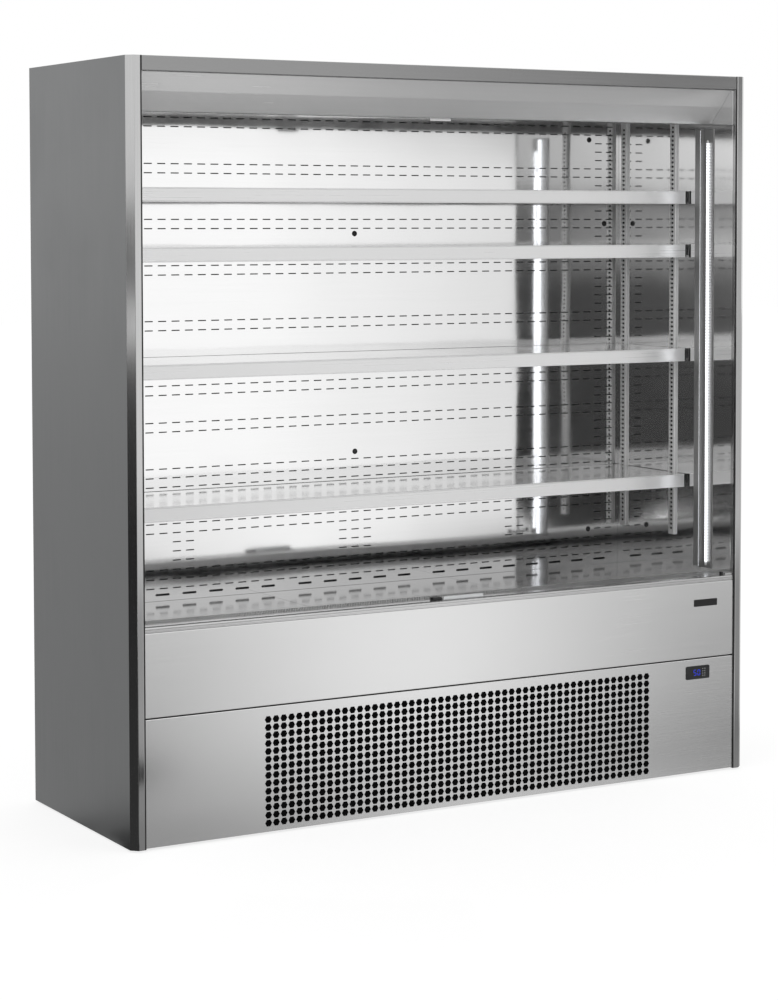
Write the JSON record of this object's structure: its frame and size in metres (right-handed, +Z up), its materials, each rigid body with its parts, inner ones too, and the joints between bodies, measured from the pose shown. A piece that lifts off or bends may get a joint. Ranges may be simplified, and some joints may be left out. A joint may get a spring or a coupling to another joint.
{
  "type": "open multideck display fridge",
  "caption": "Free-standing open-front chilled display cabinet in stainless steel with shelves, price rails, side lights, night blind and a machine compartment behind a punched panel.",
  "frame": {"origin": "on the floor, under the middle of the cabinet", "axes": "+X to the right seen from the open front, +Y to the back, +Z up"},
  "size_m": [1.92, 0.66, 2],
  "materials": {
    "brushed_steel": "fine brushed stainless, satin",
    "side_steel": "darker brushed stainless skin",
    "polished_steel": "polished stainless, near mirror",
    "zinc_sheet": "galvanised sheet, dull",
    "upright_steel": "bright stainless",
    "grey_plastic": "moulded enclosure",
    "ledge_aluminium": "satin anodised",
    "aluminium": "mill finish",
    "price_rail_white": "white moulded strip",
    "light_fitting": "anodised plate with an opal tube",
    "blind_fabric": "woven, aluminium coated",
    "blind_bar": "white lacquered",
    "clear_plastic": "clear moulded",
    "black_plastic": "satin moulded",
    "compressor_black": "black lacquer",
    "foot_rubber": "matt",
    "copper_pipe": "bare copper"
  },
  "bodies": {
    "root": {"left_corner_post": "brushed_steel", "right_corner_post": "brushed_steel", "header_fascia": "brushed_steel", "canopy": "brushed_steel", "middle_panel": "brushed_steel", "front_ledge": "ledge_aluminium", "left_side_panel": "side_steel", "right_side_panel": "side_steel", "left_liner": "polished_steel", "right_liner": "polished_steel", "ceiling_plate": "polished_steel", "back_panel": "polished_steel", "rear_wall": "zinc_sheet", "roof_panel": "zinc_sheet", "well_tub": "zinc_sheet", "evaporator_fan_plate": "zinc_sheet", "base_pan": "zinc_sheet", "machine_rear_cover": "zinc_sheet", "condenser_shroud": "zinc_sheet", "blind_bracket_left": "zinc_sheet", "blind_bracket_right": "zinc_sheet", "upright_left_front": "upright_steel", "upright_right_front": "upright_steel", "upright_left_rear": "upright_steel", "upright_right_rear": "upright_steel", "electrical_box": "grey_plastic", "air_outlet": "aluminium", "return_grille": "aluminium", "evaporator_coil": "aluminium", "condenser": "aluminium", "light_fitting_left": "light_fitting", "light_fitting_right": "light_fitting", "blind_fabric": "blind_fabric", "blind_catch": "clear_plastic", "badge_plate": "black_plastic", "drip_tray": "black_plastic", "compressor": "compressor_black", "foot_front_left": "foot_rubber", "foot_front_right": "foot_rubber", "foot_rear_left": "foot_rubber", "foot_rear_right": "foot_rubber", "suction_line": "copper_pipe"},
    "lower_panel_body": {"lower_grille_panel": "brushed_steel", "controller": "black_plastic"},
    "blind_bar_body": {"blind_pull_bar": "blind_bar"},
    "blind_roller_body": {"blind_roller": "blind_fabric"},
    "condenser_fan_body": {"condenser_fan": "black_plastic"},
    "evaporator_fan_1_body": {"evaporator_fan_1": "black_plastic"},
    "evaporator_fan_2_body": {"evaporator_fan_2": "black_plastic"},
    "deck_left_body": {"deck_plate_left": "polished_steel"},
    "deck_middle_body": {"deck_plate_middle": "polished_steel"},
    "deck_right_body": {"deck_plate_right": "polished_steel"},
    "shelf_1_body": {"shelf_1": "polished_steel", "price_rail_1": "price_rail_white"},
    "shelf_2_body": {"shelf_2": "polished_steel", "price_rail_2": "price_rail_white"},
    "shelf_3_body": {"shelf_3": "polished_steel", "price_rail_3": "price_rail_white"},
    "shelf_4_body": {"shelf_4": "polished_steel", "price_rail_4": "price_rail_white"}
  },
  "joints": [
    {"name": "shelf_1_lift", "type": "slide", "parent": "root", "child": "shelf_1_body", "axis": [0, 0, 1], "range_m": [0, 0.03]},
    {"name": "shelf_2_lift", "type": "slide", "parent": "root", "child": "shelf_2_body", "axis": [0, 0, 1], "range_m": [0, 0.03]},
    {"name": "shelf_3_lift", "type": "slide", "parent": "root", "child": "shelf_3_body", "axis": [0, 0, 1], "range_m": [0, 0.03]},
    {"name": "shelf_4_lift", "type": "slide", "parent": "root", "child": "shelf_4_body", "axis": [0, 0, 1], "range_m": [0, 0.03]},
    {"name": "deck_left_lift", "type": "slide", "parent": "root", "child": "deck_left_body", "axis": [0, 0, 1], "range_m": [0, 0.034]},
    {"name": "deck_middle_lift", "type": "slide", "parent": "root", "child": "deck_middle_body", "axis": [0, 0, 1], "range_m": [0, 0.034]},
    {"name": "deck_right_lift", "type": "slide", "parent": "root", "child": "deck_right_body", "axis": [0, 0, 1], "range_m": [0, 0.034]},
    {"name": "lower_panel_pull", "type": "slide", "parent": "root", "child": "lower_panel_body", "axis": [0, -1, 0], "range_m": [0, 0.25]},
    {"name": "blind_slide", "type": "slide", "parent": "root", "child": "blind_bar_body", "axis": [0, -0.0702, -0.9975], "range_m": [0, 1.285], "stiffness_N_per_m": 3, "springref_m": -3, "deforming": ["blind_fabric"]},
    {"name": "blind_roller_spin", "type": "hinge", "parent": "root", "child": "blind_roller_body", "pos_m": [0, -0.21436, 1.915], "axis": [1, 0, 0], "range_deg": [-3000, 0]},
    {"name": "condenser_fan_spin", "type": "hinge", "parent": "root", "child": "condenser_fan_body", "pos_m": [-0.25, -0.1567, 0.1308], "axis": [0, 1, 0], "continuous": true},
    {"name": "evaporator_fan_1_spin", "type": "hinge", "parent": "root", "child": "evaporator_fan_1_body", "pos_m": [-0.36, -0.233, 0.45575], "axis": [0, 1, 0], "continuous": true},
    {"name": "evaporator_fan_2_spin", "type": "hinge", "parent": "root", "child": "evaporator_fan_2_body", "pos_m": [0.36, -0.233, 0.45575], "axis": [0, 1, 0], "continuous": true}
  ],
  "couplings": [
    {"joint": "blind_roller_spin", "follows": "blind_slide", "rad_per_m": -40}
  ]
}
